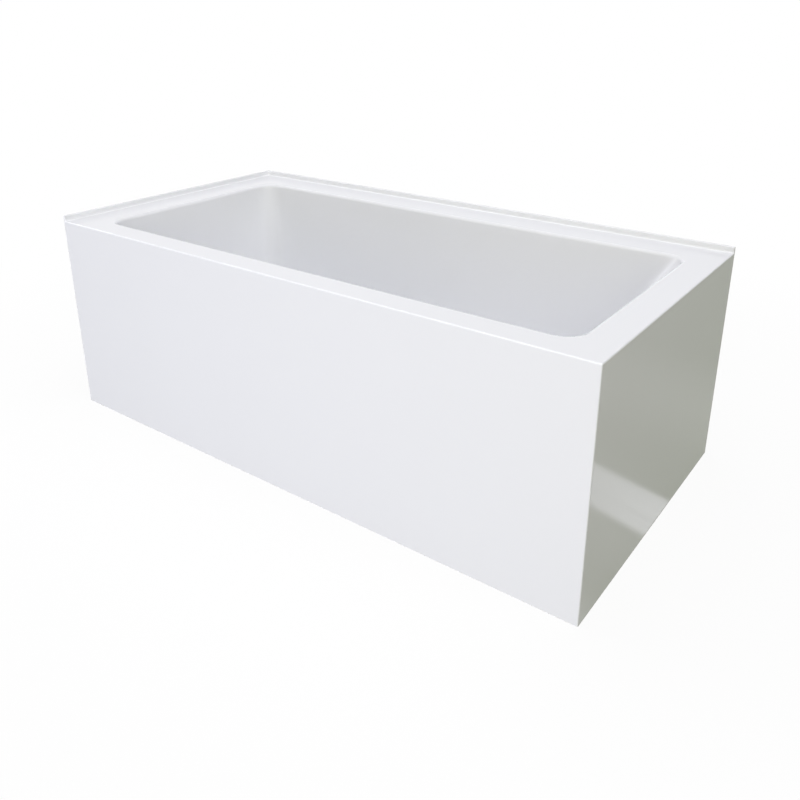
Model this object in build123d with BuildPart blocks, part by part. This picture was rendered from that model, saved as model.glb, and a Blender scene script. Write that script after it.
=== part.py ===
from build123d import *
from math import cos, hypot, pi, radians, sin
import os

# Corner bathtub, millimetres. X runs along the tub, Y from the room to the back wall, Z up.
# The origin is on the floor, in the middle of the footprint. The left and back edges carry
# a tile flange and stand against walls; the front and the right end carry aprons.

# Overall size, over the aprons and the tile flange, and the height of the deck
length = 1524.0
width = 762.0
deck_top = 533.4

# Formed shell: deck, tile flange and basin from one sheet
sheet = 5.0
flange_rise = 15.0
flange_thickness = 7.0
flange_inner_corner = 8.0
flange_cove = 5.0
edge_round = 3.0
lip_round = 9.0

# Deck widths, from the outer edges to the basin's mouth
deck_left = 103.0
deck_right = 75.0
deck_front = 69.5
deck_back = 104.0

# Basin: slopes are sideways run over drop, the right end is the reclined backrest
basin_depth = 418.0
side_slope = 0.07
backrest_slope = 0.55
mouth_corner = 45.0
foot_corner = 62.0
backrest_corner = 110.0
floor_round = 55.0
floor_fall = 0.006

# Laminate backing and the board bedded under it
bond_gap = 0.3
backing = 3.0
backing_below_deck = 12.0
bedding = 1.0
board = 15.0
board_inset = 56.0
board_head_inset = 40.0
board_corner = 40.0

# Battens, posts and rails of dry timber
batten_width = 40.0
batten_height = 18.0
post_side = 40.0
rail_height = 30.0
rail_thickness = 12.0
timber_chamfer = 1.5

# Apron panels
apron = 4.0
apron_return = 14.0
apron_foot = 4.0

# Brackets that hang the aprons on the deck battens, and their screws
bracket_width = 25.0
bracket_leg = 24.0
bracket_sheet = 2.0
front_bracket_places = (-550.0, -250.0, 150.0, 500.0)
end_bracket_places = (-150.0, 170.0)
screw_radius = 2.0
screw_head_radius = 4.0
screw_head = 2.5
screw_length = 14.0
screw_fit = 0.05
screw_end_gap = 1.0
screw_cross = 1.0
screw_cross_depth = 1.2
clearance_hole = 0.5

# Gussets between the aprons and the basin
gusset = 12.0
gusset_foot_height = 200.0
gusset_gap = 0.3
front_gusset_places = (-100.0, 300.0)

# Bearers under the board
bearer_places = (-520.0, 340.0)
bearer_width = 40.0
bearer_height = 30.0
bearer_steel = 2.0
bearer_inset = 5.0
bearer_screw_from_foot = 75.0

# Levelling feet
foot_from_bearer_end = 25.0
stud_radius = 6.0
thread_pitch = 1.75
thread_depth = 0.9
thread_fit = 0.05
nut_across_flats = 19.0
nut_height = 10.0
lock_nut_height = 8.0
foot_collar_across_flats = 17.0
foot_collar = 8.0
pad_radius = 30.0
pad_rim = 3.0
pad_height = 12.0
pad_neck_radius = 13.0
pad_socket_floor = 5.0
pad_socket_fit = 0.1

# Waste: place of the drain in the floor, and its recess
drain_from_foot_end = 211.0
recess_radius = 42.0
recess_depth = 4.0
recess_round = 2.0
drain_hole_radius = 24.0
laminate_hole_gap = 3.0

# Drain flange with its spider
flange_disc_radius = 35.0
flange_disc = 2.5
flange_seal = 0.8
seal_inset = 1.0
drain_thread_radius = 22.5
drain_bore_radius = 19.5
drain_thread_length = 28.0
spider_lift = 2.0
spider_height = 6.0
spider_hub_radius = 7.0
spider_arm = 3.5

# Drain shoe and its gasket
shoe_gasket = 4.0
shoe_disc_radius = 39.0
shoe_disc = 5.0
shoe_radius = 27.0
shoe_cavity_radius = 22.0
shoe_thread_fit = 0.1
shoe_thread_length = 20.0
shoe_floor_height = 44.0
shoe_wall = 5.0

# Pipework, all on 1-1/2 inch tube
pipe_height = 62.0
tube_radius = 19.05
tube_wall = 1.55
tube_fit = 0.1
tube_end_gap = 0.5
socket_wall = 2.85
socket_depth = 25.0
passage_step = 0.5
slip_nut_wall = 3.0
slip_nut_lip = 2.0
slip_nut_overlap = 14.0
slip_washer = 4.0
shoe_outlet_length = 62.0
tee_body_wall = 2.0
tee_body_reach = 26.0
tee_stop = 2.45
tee_drop = 24.0
outlet_end_height = 8.0
riser_gap = 3.0

# Overflow behind the front wall of the basin
overflow_drop = 85.0
overflow_hole_radius = 32.0
overflow_gasket = 3.0
overflow_disc_radius = 42.0
overflow_disc = 4.0
overflow_neck_radius = 34.5
overflow_neck_depth = 26.0
overflow_cup_radius = 29.0
overflow_cup_bore = 26.0
overflow_cup_wall = 3.0
overflow_socket_drop = 62.0
clamp_disc_radius = 38.0
clamp_disc = 2.5
clamp_tube_radius = 31.0
clamp_tube_bore = 28.5
clamp_tube_depth = 24.0
clamp_spoke = 4.0
clamp_spoke_depth = 6.0
clamp_hub_radius = 8.5
clamp_hub_front = 8.0

# Overflow knob
knob_radius = 36.0
knob_gap = 2.5
knob_height = 15.0
knob_wall = 3.0
knob_edge_round = 2.5
knob_boss_radius = 9.0
knob_bar_length = 54.0
knob_bar_width = 9.0
knob_bar_height = 5.0
knob_bar_round = 2.0
spindle_radius = 5.0
spindle_fit = 0.06
spindle_rear = 32.0
cam_radius = 15.0
cam_thickness = 5.0

# Pop-up stopper
stopper_radius = 29.0
stopper_rim = 2.0
stopper_dome = 4.0
stopper_seal = 1.6
stopper_seal_gap = 0.2
stopper_seal_outer = 27.0
stopper_seal_inner = 20.5
stem_radius = 3.0
stem_fit = 0.08

# Lift lever under the stem, swinging half of lever_swing to each side of level
lever_reach = 15.0
lever_swing = 36.0
lever_gap = 0.3
lever_roller_radius = 2.5
lever_pivot_height = 71.0
lever_arm = 3.0
lever_width = 6.0
lever_hub_radius = 5.0
lever_hub_length = 8.0
lever_horn = 19.0
lever_pin_radius = 2.5
lever_pin_length = 40.0
lever_pin_fit = 0.06

# Lift cable inside the tubes
cable_radius = 2.5
cable_bend = 40.0
cable_fit = 0.1
cable_bridge = 4.0
cable_bridge_ring = 5.5
cable_top_drop = 19.0
cable_shoe_end = 25.0

over_cut = 1.0
nearby = 0.01

# Levels and places that follow from the sizes above
half_length = length / 2
half_width = width / 2
height = deck_top + flange_rise
deck_under = deck_top - sheet
batten_under = deck_under - batten_height
floor_height = deck_top - basin_depth
mouth_left = -half_length + deck_left
mouth_right = half_length - deck_right
mouth_front = -half_width + deck_front
mouth_back = half_width - deck_back
foot_end = mouth_left + side_slope * basin_depth
backrest_end = mouth_right - backrest_slope * basin_depth
backing_outside = sheet + bond_gap + backing
board_top = floor_height - backing_outside - bedding
board_under = board_top - board
apron_front_back = -half_width + apron
apron_end_back = half_length - apron
drain_x = foot_end + drain_from_foot_end
drain_y = (mouth_front + mouth_back) / 2
overflow_z = deck_top - overflow_drop
recess_floor = floor_height - recess_depth
recess_under = recess_floor - sheet
shoe_top = recess_under - shoe_gasket
socket_radius = tube_radius + tube_fit + socket_wall
outlet_bore_radius = tube_radius - tube_wall
passage_radius = outlet_bore_radius - passage_step
tee_body_radius = socket_radius + tee_body_wall
tube_seat = socket_depth - tube_end_gap
tee_arm = tube_radius + tee_stop + tube_seat
slip_nut_flat = socket_radius + slip_nut_wall
slip_nut_corner = slip_nut_flat / cos(pi / 8)


def floor_level(x):
    """Height of the basin floor, which falls towards the drain."""
    return floor_height + floor_fall * (x - drain_x)


def wall_run(slope, depth, outside):
    """Distance from the mouth line inwards to a wall face, outside being sheet laid on it."""
    return slope * depth - outside * hypot(1, slope)


def corner_radius(end_radius, depth, outside):
    """Radius of a basin corner, which widens from the mouth down to end_radius."""
    return mouth_corner + (end_radius - mouth_corner) * depth / basin_depth + outside


def front_wall(height_above_floor, outside):
    """Y of the basin's front wall at a height, outside being sheet laid on it."""
    return mouth_front + wall_run(side_slope, deck_top - height_above_floor, outside)


def backrest_wall(height_above_floor, outside):
    """X of the backrest at a height, outside being sheet laid on it."""
    return mouth_right - wall_run(backrest_slope, deck_top - height_above_floor, outside)


def basin_form(outside, top_depth, level_floor=False):
    """Closed solid of the basin's hollow, enlarged by outside, from top_depth down."""
    fall = 0 if level_floor else floor_fall
    floor_drop = bedding if level_floor else 0
    floor_plane = Plane(
        origin=(drain_x, 0, floor_height - outside - floor_drop),
        x_dir=(1, 0, fall),
        z_dir=(-fall, 0, 1),
    )
    left_depth = deck_top - (floor_level(foot_end) if fall else floor_height) + outside + floor_drop
    right_depth = deck_top - (floor_level(backrest_end) if fall else floor_height) + outside + floor_drop
    side_depth = (left_depth + right_depth) / 2

    with BuildPart() as form:
        for plane, left, right, side, shift in (
            (Plane.XY.offset(deck_top - top_depth), top_depth, top_depth, top_depth, 0),
            (floor_plane, left_depth, right_depth, side_depth, drain_x),
        ):
            x_low = mouth_left + wall_run(side_slope, left, outside)
            x_high = mouth_right - wall_run(backrest_slope, right, outside)
            y_low = mouth_front + wall_run(side_slope, side, outside)
            y_high = mouth_back - wall_run(side_slope, side, outside)
            with BuildSketch(plane) as section:
                with Locations(((x_low + x_high) / 2 - shift, (y_low + y_high) / 2)):
                    Rectangle(x_high - x_low, y_high - y_low)
                corners = section.vertices().group_by(Axis.X)
                fillet(corners[0], corner_radius(foot_corner, left, outside))
                corners = section.vertices().group_by(Axis.X)
                fillet(corners[-1], corner_radius(backrest_corner, right, outside))
        loft(ruled=True)
        fillet(form.faces().sort_by(Axis.Z)[0].edges(), floor_round + outside)
    return form.part


def save(piece, name):
    """Label a finished piece and write it as its own file."""
    piece.part.label = name
    export_step(piece.part, f"parts/{name}.step")


def against_normal(places):
    """Places along Y as offsets of the XZ plane, whose normal points to -Y."""
    return [-place for place in places]


def flat_face_at(piece, level):
    """The largest horizontal face of a piece at a level."""
    faces = piece.faces().filter_by(Axis.Z)
    return faces.filter_by_position(Axis.Z, level - nearby, level + nearby).sort_by(SortBy.AREA)[-1]


# Tub shell: deck and tile flange, the basin hung in the deck, the drain recess, two holes
def in_flange_cove(edge):
    """True for the inner corner where the tile flange stands on the deck."""
    spot = edge.center()
    reach = flange_thickness + flange_inner_corner
    beside_flange = spot.X < -half_length + reach or spot.Y > half_width - reach
    return beside_flange and abs(spot.Z - deck_top) < nearby


def on_rim(edge):
    """True for the flange's upper edges and the open front and right edges of the deck."""
    spot = edge.center()
    front = spot.Y < -half_width + edge_round and spot.X > -half_length + flange_thickness / 2
    right = spot.X > half_length - edge_round and spot.Y < half_width - flange_thickness / 2
    return spot.Z > height - nearby or (spot.Z > deck_top - nearby and (front or right))


def on_recess_rim(edge):
    """True for the edge where the drain recess meets the basin floor."""
    around_recess = abs(edge.length - 2 * pi * recess_radius) < over_cut
    return around_recess and edge.center().Z > floor_height - recess_depth / 2


def make_tub_shell():
    basin_outside = basin_form(sheet, sheet / 2)
    basin_hollow = basin_form(0, -over_cut)
    with BuildPart() as shell:
        with BuildSketch(Plane.XY.offset(deck_under)):
            RectangleRounded(length, width, edge_round)
        extrude(amount=sheet)
        with BuildSketch(Plane.XY.offset(deck_under)):
            RectangleRounded(length, width, edge_round)
            with Locations((flange_thickness + length / 2, -flange_thickness - width / 2)):
                RectangleRounded(2 * length, 2 * width, flange_inner_corner, mode=Mode.SUBTRACT)
        extrude(amount=sheet + flange_rise)
        fillet(shell.edges().filter_by(in_flange_cove), flange_cove)
        fillet(shell.edges().filter_by(on_rim), edge_round)

        add(basin_outside)
        add(basin_hollow, mode=Mode.SUBTRACT)
        fillet(flat_face_at(shell, deck_top).inner_wires()[0].edges(), lip_round)
        fillet(flat_face_at(shell, deck_under).inner_wires()[0].edges(), lip_round - sheet)

        with BuildSketch(Plane.XY.offset(recess_under)):
            with Locations((drain_x, drain_y)):
                Circle(recess_radius + sheet)
        extrude(amount=sheet + recess_depth / 2)
        with BuildSketch(Plane.XY.offset(recess_floor)):
            with Locations((drain_x, drain_y)):
                Circle(recess_radius)
        extrude(amount=2 * recess_depth, mode=Mode.SUBTRACT)
        fillet(shell.edges().filter_by(on_recess_rim), recess_round)
        with BuildSketch(Plane.XY.offset(recess_under - over_cut)):
            with Locations((drain_x, drain_y)):
                Circle(drain_hole_radius)
        extrude(amount=sheet + 2 * over_cut, mode=Mode.SUBTRACT)
        with BuildSketch(overflow_plane):
            Circle(overflow_hole_radius)
        extrude(amount=2 * sheet, both=True, mode=Mode.SUBTRACT)
    save(shell, "tub_shell")


# Laminate sprayed on the outside of the basin; its underside is level where the board beds
def make_fibreglass_backing():
    laminate = basin_form(backing_outside, backing_below_deck, level_floor=True)
    basin_outside = basin_form(sheet + bond_gap, sheet / 2)
    with BuildPart() as layer:
        add(laminate)
        add(basin_outside, mode=Mode.SUBTRACT)
        with BuildSketch(Plane.XY.offset(board_top - over_cut)):
            with Locations((drain_x, drain_y)):
                Circle(laminate_hole_radius)
        extrude(amount=backing_outside + over_cut, mode=Mode.SUBTRACT)
        with BuildSketch(overflow_plane):
            Circle(overflow_hole_radius)
        extrude(amount=-2 * backing_outside, mode=Mode.SUBTRACT)
    save(layer, "fibreglass_backing")


# Support board, screwed on the bearers, with a hole round the drain shoe
def make_floor_board():
    with BuildPart() as plank:
        with BuildSketch(Plane.XY.offset(board_under)):
            with Locations(((board_left + board_right) / 2, (board_front + board_back) / 2)):
                RectangleRounded(board_right - board_left, board_back - board_front, board_corner)
            with Locations((drain_x, drain_y)):
                Circle(laminate_hole_radius, mode=Mode.SUBTRACT)
            with Locations(foot_places):
                Circle(stud_radius + clearance_hole, mode=Mode.SUBTRACT)
        extrude(amount=board)
        with BuildSketch(Plane.XY.offset(board_under)):
            with Locations(bearer_screws_at):
                Circle(screw_radius + screw_fit)
        extrude(amount=screw_length - bearer_steel + screw_end_gap, mode=Mode.SUBTRACT)
    save(plank, "floor_board")


# Timber: each length is a straight stick between two corners, its long edges eased
def make_timber(name, low, high, long_axis, screws_at=()):
    with BuildPart() as stick:
        with BuildSketch(Plane.XY.offset(low[2])):
            with Locations(((low[0] + high[0]) / 2, (low[1] + high[1]) / 2)):
                Rectangle(high[0] - low[0], high[1] - low[1])
        extrude(amount=high[2] - low[2])
        chamfer(stick.edges().filter_by(long_axis), timber_chamfer)
        if screws_at:
            with BuildSketch(Plane.XY.offset(low[2])):
                with Locations(screws_at):
                    Circle(screw_radius + screw_fit)
            extrude(amount=screw_length - bracket_sheet + screw_end_gap, mode=Mode.SUBTRACT)
    save(stick, name)


def make_timber_frame():
    front_inner = apron_front_back + batten_width
    end_inner = apron_end_back - batten_width
    back_inner = half_width - flange_thickness - batten_width
    left_inner = -half_length + flange_thickness + batten_width
    end_stop = half_width - apron
    post_front = apron_front_back + post_side
    post_right = apron_end_back - post_side
    post_left = -half_length + apron + post_side

    make_timber(
        "front_deck_batten",
        (-half_length + apron, apron_front_back, batten_under),
        (apron_end_back, front_inner, deck_under),
        Axis.X,
        front_brackets_at,
    )
    make_timber(
        "end_deck_batten",
        (end_inner, front_inner, batten_under),
        (apron_end_back, end_stop, deck_under),
        Axis.Y,
        end_brackets_at,
    )
    make_timber(
        "left_deck_batten",
        (-half_length + flange_thickness, front_inner, batten_under),
        (left_inner, half_width - flange_thickness, deck_under),
        Axis.Y,
    )
    make_timber(
        "back_deck_batten",
        (left_inner, back_inner, batten_under),
        (end_inner, half_width - flange_thickness, deck_under),
        Axis.X,
    )
    make_timber(
        "corner_post",
        (post_right, apron_front_back, apron_foot),
        (apron_end_back, post_front, batten_under),
        Axis.Z,
    )
    make_timber(
        "front_left_post",
        (-half_length + apron, apron_front_back, apron_foot),
        (post_left, post_front, batten_under),
        Axis.Z,
    )
    make_timber(
        "end_back_post",
        (post_right, end_stop - post_side, apron_foot),
        (apron_end_back, end_stop, batten_under),
        Axis.Z,
    )
    make_timber(
        "front_sole_rail",
        (post_left, apron_front_back, apron_foot),
        (post_right, apron_front_back + rail_thickness, apron_foot + rail_height),
        Axis.X,
    )
    make_timber(
        "end_sole_rail",
        (apron_end_back - rail_thickness, post_front, apron_foot),
        (apron_end_back, end_stop - post_side, apron_foot + rail_height),
        Axis.Y,
    )


# Front apron: a panel over the whole length, turned in at the left end and at the floor
def make_front_apron():
    with BuildPart() as panel:
        with BuildSketch() as plan:
            with Locations((0, -half_width + apron / 2)):
                Rectangle(length, apron)
            with Locations((-half_length + apron / 2, apron_front_back + apron_return / 2)):
                Rectangle(apron, apron_return)
            for corner in ((-half_length, -half_width), (half_length, -half_width)):
                fillet(plan.vertices().sort_by_distance(corner)[0], edge_round)
        extrude(amount=deck_under)
        with BuildSketch():
            with Locations((0, apron_front_back + apron_return / 2)):
                Rectangle(length - 2 * apron, apron_return)
        extrude(amount=apron_foot)
    save(panel, "front_apron")


# End apron: butts against the back of the front apron, turned in at the back and at the floor
def make_end_apron():
    foot_low = apron_front_back + apron_return
    foot_high = half_width - apron
    with BuildPart() as panel:
        with BuildSketch() as plan:
            with Locations((half_length - apron / 2, apron / 2)):
                Rectangle(apron, width - apron)
            with Locations((apron_end_back - apron_return / 2, half_width - apron / 2)):
                Rectangle(apron_return, apron)
            fillet(plan.vertices().sort_by_distance((half_length, half_width))[0], edge_round)
        extrude(amount=deck_under)
        with BuildSketch():
            with Locations((apron_end_back - apron_return / 2, (foot_low + foot_high) / 2)):
                Rectangle(apron_return, foot_high - foot_low)
        extrude(amount=apron_foot)
    save(panel, "end_apron")


# Angle brackets in the corner between a batten's underside and the back of an apron
def make_apron_brackets():
    with BuildPart() as brackets:
        for plane, corner, inward, places in (
            (Plane.YZ, apron_front_back, 1, front_bracket_places),
            (Plane.XZ, apron_end_back, -1, against_normal(end_bracket_places)),
        ):
            for place in places:
                with BuildSketch(plane.offset(place - bracket_width / 2)):
                    with Locations((corner + inward * bracket_leg / 2, batten_under - bracket_sheet / 2)):
                        Rectangle(bracket_leg, bracket_sheet)
                    with Locations((corner + inward * bracket_sheet / 2, batten_under - bracket_leg / 2)):
                        Rectangle(bracket_sheet, bracket_leg)
                extrude(amount=bracket_width)
        with BuildSketch(Plane.XY.offset(batten_under - bracket_leg)):
            with Locations(front_brackets_at + end_brackets_at):
                Circle(screw_radius + clearance_hole)
        extrude(amount=bracket_leg + over_cut, mode=Mode.SUBTRACT)
    save(brackets, "apron_brackets")


# Cross-head screws driven upwards, their heads seated at a level
def make_screws(name, places, seat):
    with BuildPart() as screws:
        with BuildSketch(Plane.XY.offset(seat - screw_head)):
            with Locations(places):
                Circle(screw_head_radius)
        extrude(amount=screw_head)
        with BuildSketch(Plane.XY.offset(seat)):
            with Locations(places):
                Circle(screw_radius)
        extrude(amount=screw_length)
        with BuildSketch(Plane.XY.offset(seat - screw_head)):
            with Locations(places):
                Rectangle(screw_head_radius, screw_cross)
                Rectangle(screw_cross, screw_head_radius)
        extrude(amount=screw_cross_depth, mode=Mode.SUBTRACT)
    save(screws, name)


# Gussets: upright plates between an apron and the sloping outside of the basin
def make_gusset_group(name, plane, apron_back, wall, places):
    outside = backing_outside + gusset_gap
    with BuildPart() as plates:
        for place in places:
            with BuildSketch(plane.offset(place - gusset / 2)):
                with BuildLine():
                    Polyline(
                        (apron_back, gusset_foot_height),
                        (wall(gusset_foot_height, outside), gusset_foot_height),
                        (wall(batten_under, outside), batten_under),
                        (apron_back, batten_under),
                        close=True,
                    )
                make_face()
            extrude(amount=gusset)
    save(plates, name)


# Bearers: steel channels open downwards, under the board
def make_bearer(name, x):
    web_under = board_under - bearer_steel
    with BuildPart() as channel:
        with BuildSketch(Plane.XZ.offset(-bearer_back)):
            with Locations((x, board_under - bearer_height / 2)):
                Rectangle(bearer_width, bearer_height)
            with Locations((x, web_under - bearer_height / 2)):
                Rectangle(bearer_width - 2 * bearer_steel, bearer_height, mode=Mode.SUBTRACT)
        extrude(amount=bearer_back - bearer_front)
        with BuildSketch(Plane.XY.offset(web_under - over_cut)):
            with Locations([place for place in foot_places if place[0] == x]):
                Circle(stud_radius + clearance_hole)
            with Locations([place for place in bearer_screws_at if place[0] == x]):
                Circle(screw_radius + clearance_hole)
        extrude(amount=bearer_steel + 2 * over_cut, mode=Mode.SUBTRACT)
    save(channel, name)


# Nuts on the foot studs: one welded under each bearer web, one locking below it
def make_stud_nuts(name, top, thickness):
    with BuildPart() as nuts:
        with BuildSketch(Plane.XY.offset(top - thickness)):
            with Locations(foot_places):
                RegularPolygon(nut_across_flats / 2, 6, major_radius=False)
                Circle(stud_radius + thread_fit, mode=Mode.SUBTRACT)
        extrude(amount=thickness)
    save(nuts, name)


# Levelling foot: threaded stud with a hexagon collar, standing in a moulded pad
def thread_outline():
    """Half section of the stud above its collar, one ridge for each turn of the thread."""
    low = pad_height + foot_collar
    turns = int((board_under - low) / thread_pitch)
    ridges = [(0, pad_socket_floor), (stud_radius, pad_socket_floor), (stud_radius, low)]
    for turn in range(turns):
        start = low + turn * thread_pitch
        ridges.append((stud_radius - thread_depth, start + thread_pitch / 2))
        ridges.append((stud_radius, start + thread_pitch))
    return ridges + [(0, low + turns * thread_pitch)]


def make_foot(name, place):
    axis = Axis((*place, 0), (0, 0, 1))
    section = Plane(origin=(*place, 0), x_dir=(1, 0, 0), z_dir=(0, -1, 0))
    with BuildPart() as stud:
        with BuildSketch(section):
            with BuildLine():
                Polyline(*thread_outline(), close=True)
            make_face()
        revolve(axis=axis)
        with BuildSketch(Plane.XY.offset(pad_height)):
            with Locations(place):
                RegularPolygon(foot_collar_across_flats / 2, 6, major_radius=False)
        extrude(amount=foot_collar)
    save(stud, f"{name}_stud")

    pad_socket_radius = stud_radius + pad_socket_fit
    with BuildPart() as pad:
        with BuildSketch(section):
            with BuildLine():
                Polyline(
                    (0, 0),
                    (pad_radius, 0),
                    (pad_radius, pad_rim),
                    (pad_neck_radius, pad_height),
                    (pad_socket_radius, pad_height),
                    (pad_socket_radius, pad_socket_floor),
                    (0, pad_socket_floor),
                    close=True,
                )
            make_face()
        revolve(axis=axis)
    save(pad, f"{name}_pad")


# Flat rings, tubes and washers
def make_ring(name, plane, outer, inner, depth):
    with BuildPart() as ring:
        with BuildSketch(plane):
            Circle(outer)
            Circle(inner, mode=Mode.SUBTRACT)
        extrude(amount=depth)
    save(ring, name)


# Drain flange: disc in the recess, threaded tube below, a spider that guides the stem
def make_drain_flange():
    tube_bottom = flange_top - flange_disc - drain_thread_length
    with BuildPart() as flange:
        with BuildSketch(drain_plane.offset(flange_top - flange_disc)):
            Circle(flange_disc_radius)
        extrude(amount=flange_disc)
        fillet(flange.edges().group_by(Axis.Z)[-1], flange_disc / 2)
        with BuildSketch(drain_plane.offset(tube_bottom)):
            Circle(drain_thread_radius)
        extrude(amount=drain_thread_length)
        with BuildSketch(drain_plane.offset(tube_bottom - over_cut)):
            Circle(drain_bore_radius)
        extrude(amount=drain_thread_length + flange_disc + 2 * over_cut, mode=Mode.SUBTRACT)
        with BuildSketch(drain_plane.offset(tube_bottom + spider_lift)):
            Circle(spider_hub_radius)
            Rectangle(2 * drain_bore_radius + over_cut, spider_arm)
            Rectangle(spider_arm, 2 * drain_bore_radius + over_cut)
            Circle(stem_radius + stem_fit, mode=Mode.SUBTRACT)
        extrude(amount=spider_height)
    save(flange, "drain_flange")


# Drain shoe: clamps the floor from below and turns the water into the waste tube
def make_drain_shoe():
    outlet = Plane(origin=(drain_x, drain_y, pipe_height), x_dir=(1, 0, 0), z_dir=(0, -1, 0))
    bridge = outlet.offset(cable_shoe_end)
    with BuildPart() as shoe:
        with BuildSketch(drain_plane.offset(shoe_top - shoe_disc)):
            Circle(shoe_disc_radius)
        extrude(amount=shoe_disc)
        with BuildSketch(drain_plane.offset(shoe_floor_height - shoe_wall)):
            Circle(shoe_radius)
        extrude(amount=shoe_top - shoe_floor_height + shoe_wall)
        fillet(shoe.edges().group_by(Axis.Z)[0], shoe_wall / 2)
        with BuildSketch(outlet):
            Circle(socket_radius)
        extrude(amount=shoe_outlet_length)

        with BuildSketch(drain_plane.offset(shoe_top - shoe_thread_length)):
            Circle(drain_thread_radius + shoe_thread_fit)
        extrude(amount=shoe_thread_length + over_cut, mode=Mode.SUBTRACT)
        with BuildSketch(drain_plane.offset(shoe_floor_height)):
            Circle(shoe_cavity_radius)
        extrude(amount=shoe_top - shoe_floor_height, mode=Mode.SUBTRACT)
        with BuildSketch(outlet):
            Circle(passage_radius)
        extrude(amount=shoe_outlet_length, mode=Mode.SUBTRACT)
        with BuildSketch(outlet.offset(shoe_outlet_length - socket_depth)):
            Circle(tube_radius + tube_fit)
        extrude(amount=socket_depth + over_cut, mode=Mode.SUBTRACT)
        with BuildSketch(lever_plane):
            Circle(lever_pin_radius + lever_pin_fit)
        extrude(amount=lever_pin_length / 2 + lever_pin_fit, both=True, mode=Mode.SUBTRACT)

        with BuildSketch(bridge):
            Rectangle(2 * passage_radius + over_cut, cable_bridge)
            Circle(cable_bridge_ring)
            Circle(cable_radius + cable_fit, mode=Mode.SUBTRACT)
        extrude(amount=cable_bridge)
    save(shoe, "drain_shoe")


# Waste tee: takes the waste tube and the riser, and ends in the spigot for the trap
def make_waste_tee():
    upright = Plane(origin=(drain_x, riser_y, pipe_height))
    branch = Plane(origin=(drain_x, riser_y, pipe_height), x_dir=(1, 0, 0), z_dir=(0, 1, 0))
    spigot_end = upright.offset(outlet_end_height - pipe_height)
    with BuildPart() as tee:
        with BuildSketch(upright.offset(-tee_drop)):
            Circle(tee_body_radius)
        extrude(amount=tee_drop + tee_body_reach)
        with BuildSketch(upright):
            Circle(socket_radius)
        extrude(amount=tee_arm)
        with BuildSketch(branch):
            Circle(socket_radius)
        extrude(amount=tee_arm)
        with BuildSketch(spigot_end):
            Circle(tube_radius)
        extrude(amount=pipe_height - tee_drop - outlet_end_height)

        with BuildSketch(spigot_end.offset(-over_cut)):
            Circle(outlet_bore_radius)
        extrude(amount=pipe_height - outlet_end_height + tee_arm, mode=Mode.SUBTRACT)
        with BuildSketch(branch):
            Circle(passage_radius)
        extrude(amount=tee_arm, mode=Mode.SUBTRACT)
        for plane in (upright, branch):
            with BuildSketch(plane.offset(tee_arm - socket_depth)):
                Circle(tube_radius + tube_fit)
            extrude(amount=socket_depth + over_cut, mode=Mode.SUBTRACT)
    save(tee, "waste_tee")


# Slip joints: a washer and an eight-sided nut at the mouth of each socket
def make_slip_joints():
    with BuildPart() as nuts:
        for mouth in socket_mouths:
            with BuildSketch(mouth.offset(-slip_nut_overlap)):
                RegularPolygon(slip_nut_flat, 8, major_radius=False)
                Circle(socket_radius + tube_fit, mode=Mode.SUBTRACT)
            extrude(amount=slip_nut_overlap + slip_washer)
            with BuildSketch(mouth.offset(slip_washer)):
                RegularPolygon(slip_nut_flat, 8, major_radius=False)
                Circle(tube_radius + tube_fit, mode=Mode.SUBTRACT)
            extrude(amount=slip_nut_lip)
    save(nuts, "slip_nuts")

    with BuildPart() as washers:
        for mouth in socket_mouths:
            with BuildSketch(mouth):
                Circle(socket_radius)
                Circle(tube_radius + tube_fit, mode=Mode.SUBTRACT)
            extrude(amount=slip_washer)
    save(washers, "slip_washers")


# Overflow body: clamped behind the wall, with a cup for the cam and a socket for the riser
def make_overflow_body():
    disc_rear = -backing_outside - overflow_gasket - overflow_disc
    cup_rear = -(wall_to_riser + passage_radius + overflow_cup_wall)
    socket_mouth_z = overflow_z - overflow_socket_drop
    upright = Plane(origin=(drain_x, riser_y, socket_mouth_z))
    bridge = upright.offset(socket_depth + over_cut)
    with BuildPart() as body:
        with BuildSketch(overflow_plane.offset(disc_rear)):
            Circle(overflow_disc_radius)
        extrude(amount=overflow_disc)
        with BuildSketch(overflow_plane.offset(-overflow_neck_depth)):
            Circle(overflow_neck_radius)
        extrude(amount=overflow_neck_depth + disc_rear)
        with BuildSketch(overflow_plane.offset(cup_rear)):
            Circle(overflow_cup_radius)
        extrude(amount=-cup_rear - overflow_neck_depth)
        with BuildSketch(upright):
            Circle(socket_radius)
        extrude(amount=overflow_socket_drop)

        with BuildSketch(overflow_plane.offset(-overflow_neck_depth)):
            Circle(clamp_tube_radius + tube_fit)
        extrude(amount=overflow_neck_depth, mode=Mode.SUBTRACT)
        with BuildSketch(overflow_plane.offset(cup_rear + overflow_cup_wall)):
            Circle(overflow_cup_bore)
        extrude(amount=-cup_rear - overflow_cup_wall, mode=Mode.SUBTRACT)
        with BuildSketch(upright):
            Circle(passage_radius)
        extrude(amount=overflow_socket_drop, mode=Mode.SUBTRACT)
        with BuildSketch(upright.offset(-over_cut)):
            Circle(tube_radius + tube_fit)
        extrude(amount=socket_depth + over_cut, mode=Mode.SUBTRACT)

        with BuildSketch(bridge):
            Rectangle(2 * passage_radius + over_cut, cable_bridge)
            Circle(cable_bridge_ring)
            Circle(cable_radius + cable_fit, mode=Mode.SUBTRACT)
        extrude(amount=cable_bridge)
    save(body, "overflow_body")


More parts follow.
